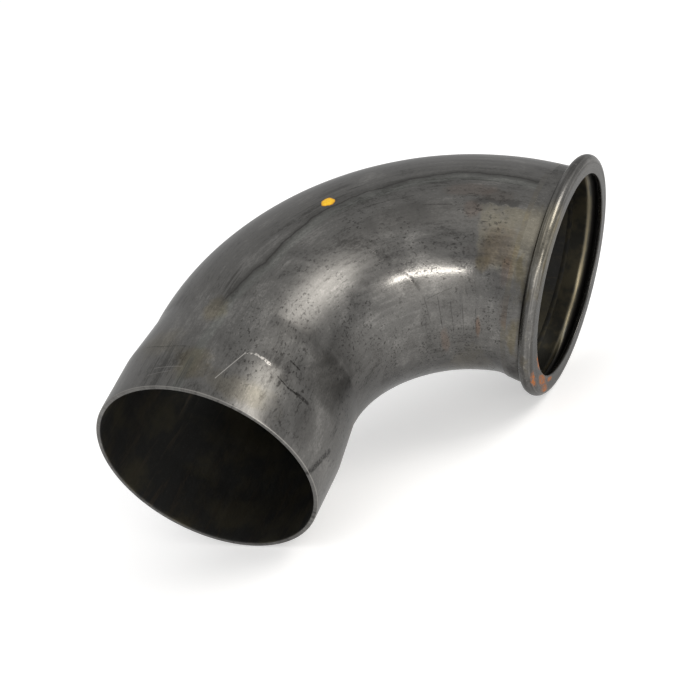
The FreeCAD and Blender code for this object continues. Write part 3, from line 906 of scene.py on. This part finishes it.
def flange_steel():
    """The rolled ring: fine lines round it, a worn crest and a patch of rust low down."""
    steel = Steel("flange_steel", along=1.0)
    lines = steel.noise(steel.scaled(steel.straight, (1, 0.02, 0.02)), 1500, 3, 0.6)
    wide_lines = steel.noise(steel.scaled(steel.straight, (1, 0.04, 0.04)), 420, 3, 0.6)
    corner = NECK_END - WELD_WIDTH
    on_bead = steel.band(steel.run, corner - 1 * MM, corner + 2 * MM)
    steel.cover(steel.times(steel.band(wide_lines, 0.46, 0.62), on_bead), DARK, 0.7)
    steel.cover(steel.times(steel.band(lines, 0.52, 0.66), on_bead), LIGHT, 0.7)
    tinted = steel.band(steel.across, 60 * MM, 30 * MM, 0, 0.7)
    tinted = steel.times(tinted, steel.band(steel.across, 4 * MM, 16 * MM))
    steel.film(tinted, STRAW)
    stained = steel.noise(steel.scaled(steel.straight, (1, 0.5, 0.5)), 60, 4, 0.6)
    steel.film(steel.band(stained, 0.50, 0.64), OLIVE, 0.8)
    nicks = steel.noise(steel.scaled(steel.straight, (1, 0.4, 0.4)), 700, 2, 0.5)
    steel.cover(steel.times(steel.band(nicks, 0.64, 0.69), on_bead), BARE, 0.20)
    # Painted shade: the hollow corner between the neck and the bead is painted dark, most towards the
    # inside of the bend.
    corner_shade = steel.times(steel.band(steel.run, corner - 2.5 * MM, corner + 1.0 * MM),
                        steel.band(steel.run, corner + 5.5 * MM, corner + 2.5 * MM))
    corner_shade = steel.times(corner_shade, steel.band(steel.across, 0, 20 * MM, 0.35, 1.0))
    steel.cover(corner_shade, BLACK, 0.65)
    # The face inside the crest is made darker.
    points, outside_count = flange_section()
    lengths = section_lengths(points)
    crest = lengths[max(range(outside_count), key=lambda index: points[index][1])]
    face = steel.band(steel.run, float(crest) + 4.5 * MM, float(crest) + 7.5 * MM)
    steel.film(face, FACE_DARKENING, 0.9)
    warp = steel.noise(steel.straight, 210, 5, 0.7)
    rust = 0.0
    for spot in RUST_SPOTS:
        rust = steel.math("MAXIMUM", rust, steel.patch(*spot, warp))
    flaked = steel.noise(steel.scaled(steel.straight, (1, 0.6, 0.6)), 620, 4, 0.65)
    rust = steel.times(rust, steel.band(flaked, 0.40, 0.52, 0.15, 1.0))
    steel.cover(rust, RUST, 0.95)
    steel.rough = steel.math("MULTIPLY_ADD", rust, 0.35, steel.math("SUBTRACT", steel.rough, 0.08))
    height = steel.math("MULTIPLY_ADD", lines, 0.5, steel.times(wide_lines, 0.5))
    metallic = steel.math("MULTIPLY_ADD", rust, -0.9, 1.0)
    steel.feed(steel.bsdf.inputs["Specular IOR Level"], 0.15)
    return steel.finish(steel.colour, steel.rough, height, 0.06 * MM, metallic, edge=0.60)


def flange_inside():
    """Inside the ring: painted shade, black, in the groove, a painted straw-coloured highlight on the
    crest, dark olive neck.
    """
    shader = Shader("flange_inside")
    straight = shader.attribute("straight")
    along, _, _ = shader.split(shader.attribute("unrolled"))
    clouds = shader.noise(straight, 60, 4, 0.6)
    colour = shader.blend(shader.band(clouds, 0.4, 0.6), RING_OXIDE, RING_OLIVE)
    # The throat's arc ends where the neck's bore starts, near the end of the section.
    points, _ = flange_section()
    throat_end = section_lengths(points)[-1] - (NECK_END - WELD_WIDTH)
    # Painted shade: the groove inside the bead is painted black.
    groove = shader.band(along, throat_end - 2.5 * MM, throat_end - 5.0 * MM)
    colour = shader.blend(groove, colour, BLACK)
    # Painted highlight: a straw-coloured band on the crest of the inner flare.
    crest = shader.times(shader.band(along, throat_end - 2.9 * MM, throat_end - 2.3 * MM),
                         shader.band(along, throat_end - 0.6 * MM, throat_end - 1.8 * MM))
    highlight_warp = shader.band(shader.noise(straight, 38, 3), 0.35, 0.6, 0.35, 1.0)
    colour = shader.blend(shader.times(crest, highlight_warp), colour, RING_CREST_HIGHLIGHT)
    rough = shader.band(groove, 0, 1, 0.34, 0.7)
    return shader.finish(colour, rough, clouds, 0.03 * MM, metallic=0.9)


def yellow_paint():
    """Matt marking paint, thinner between the bristle lines and dirty at its rim."""
    shader = Shader("marking_paint")
    position = shader.node("ShaderNodeTexCoord", {}).outputs["Object"]
    thin = shader.noise(position, 900, 3)
    colour = shader.blend(shader.band(thin, 0.35, 0.7), PAINT, PAINT_THIN)
    rim = shader.band(shader.attribute("from_middle", "Fac"), 0.72, 1.0, 0, 0.85)
    colour = shader.blend(rim, colour, PAINT_RIM)
    shader.feed(shader.bsdf.inputs["Specular IOR Level"], 0.25)
    return shader.finish(colour, 0.5, thin, 0.05 * MM, metallic=0.0)


# ---------------------------------------------------------------- stage and light
FLOOR_RADIUS = 1.1
# The floor fades out between these distances from its middle.
FLOOR_FADE = (0.55, 1.05)
# It lies this far below the elbow, and gives off a little light, so that it stays pale.
FLOOR_GAP = 0.4 * MM
FLOOR_GLOW = 0.36
FLOOR_WHITE = (0.82, 0.82, 0.82, 1)
WHITE = (1, 1, 1, 1)
# Roughly the elbow's centre of mass, and how level the plane that it rests on must be.
MASS_CENTRE = Vector((-0.105, -0.07, 0))
LEAST_LEVEL = 0.9


def resting_plane():
    """The plane the elbow lies on: bead, collar rim and the underside of the bend."""
    turns = np.radians(np.arange(180, 360, 1.0))
    rows = [place_on_path(-(REACH - BEAD_ARC), turns, BEAD_R),
            place_on_path(MOUTH_RUN, turns, COLLAR_R)]
    rows += [place_on_path(run, turns, TUBE_R) for run in np.linspace(0, BEND_RUN, 60)]
    cloud = bmesh.new()
    for point in np.concatenate(rows):
        cloud.verts.new(point)
    bmesh.ops.convex_hull(cloud, input=cloud.verts)
    cloud.normal_update()
    planes = []
    for face in cloud.faces:
        normal = face.normal if face.normal.z < 0 else -face.normal
        if normal.z > -LEAST_LEVEL:
            continue
        point = face.verts[0].co
        height = (point - MASS_CENTRE).dot(normal) / normal.z
        planes.append((height, point.copy(), -normal))
    cloud.free()
    _, point, normal = min(planes, key=lambda plane: plane[0])
    return point, normal


def placed(place, upward):
    """The matrix of something at a place, with its own Z turned to point upward."""
    return Matrix.Translation(place) @ upward.to_track_quat("Z", "Y").to_matrix().to_4x4()


def make_floor():
    """A pale disc under the elbow, in the plane that it rests on."""
    point, normal = resting_plane()
    mesh = bpy.data.meshes.new("floor")
    work = bmesh.new()
    bmesh.ops.create_circle(work, cap_ends=True, radius=FLOOR_RADIUS, segments=96)
    work.to_mesh(mesh)
    work.free()
    floor = link("floor", mesh)
    low, high = CAD_BOUNDS
    middle = Vector((low[0] + high[0], low[1] + high[1], 0)) / 2
    offset = middle - point
    middle.z = point.z - (offset.x * normal.x + offset.y * normal.y) / normal.z - FLOOR_GAP
    floor.matrix_world = placed(middle, normal)
    shader = Shader("floor_white")
    place = shader.node("ShaderNodeTexCoord", {}).outputs["Object"]
    away = shader.node("ShaderNodeVectorMath", {0: place}, operation="LENGTH").outputs["Value"]
    shader.feed(shader.bsdf.inputs["Base Color"], FLOOR_WHITE)
    shader.feed(shader.bsdf.inputs["Roughness"], 0.9)
    shader.feed(shader.bsdf.inputs["Emission Color"], WHITE)
    shader.feed(shader.bsdf.inputs["Emission Strength"], FLOOR_GLOW)
    shader.feed(shader.bsdf.inputs["Alpha"], shader.band(away, FLOOR_FADE[1], FLOOR_FADE[0]))
    floor.data.materials.append(shader.material)


WARM = (1.0, 0.965, 0.915)
LIGHT_TARGET = Vector((-0.10, -0.06, 0))
# Softboxes: azimuth, elevation, distance, size and radiance. Azimuth 0 is in front of the
# collar's mouth (-Y), and 90 is beyond the flange (+X).
LIGHTS = (
    ("window_softbox", 126, 53, 1.6, (0.78, 0.56), 7.0),
    ("front_tube", 44, 41, 1.5, (1.15, 0.12), 13.0),
    ("front_fill", 42, 34, 1.9, (1.7, 1.3), 0.8),
    ("overhead", -90, 76, 1.8, (0.9, 0.9), 0.8))
# The backdrop looks white, but gives less light than that.
BACKDROP_LIGHT = 0.80
BACKDROP_EXTRA_WHITE = 0.25


def make_light(name, azimuth, elevation, distance, size, radiance):
    """A rectangular softbox that looks at the elbow."""
    azimuth, elevation = math.radians(azimuth), math.radians(elevation)
    towards = Vector((math.sin(azimuth) * math.cos(elevation),
                      -math.cos(azimuth) * math.cos(elevation), math.sin(elevation)))
    data = bpy.data.lights.new(name, "AREA")
    data.shape = "RECTANGLE"
    data.size, data.size_y = size
    data.energy = radiance * math.pi * size[0] * size[1]
    data.color = WARM
    light = bpy.data.objects.new(name, data)
    bpy.context.scene.collection.objects.link(light)
    light.matrix_world = placed(LIGHT_TARGET + towards * distance, towards)


def make_studio():
    """A white backdrop, and the softboxes."""
    world = bpy.data.worlds.new("studio")
    world.use_nodes = True
    nodes, links = world.node_tree.nodes, world.node_tree.links
    background = nodes["Background"]
    background.inputs["Color"].default_value = WHITE
    backdrop = nodes.new("ShaderNodeMath")
    backdrop.operation = "MULTIPLY_ADD"
    links.new(nodes.new("ShaderNodeLightPath").outputs["Is Camera Ray"], backdrop.inputs[0])
    backdrop.inputs[1].default_value = BACKDROP_EXTRA_WHITE
    backdrop.inputs[2].default_value = BACKDROP_LIGHT
    links.new(backdrop.outputs[0], background.inputs["Strength"])
    bpy.context.scene.world = world
    for light in LIGHTS:
        make_light(*light)
    bpy.context.scene.view_settings.view_transform = "Standard"


# ---------------------------------------------------------------- assembly
def main():
    make_camera()
    for piece, node, slot in (
            (make_tube(), "elbow_tube", "tube_steel"),
            (make_weld(), "flange_weld", "weld_steel"),
            (make_flange(), "clamp_flange", "flange_steel"),
            (make_paint(), "paint_mark", "marking_paint")):
        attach(piece, "root")
        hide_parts(node)
    make_floor()
    make_studio()


main()
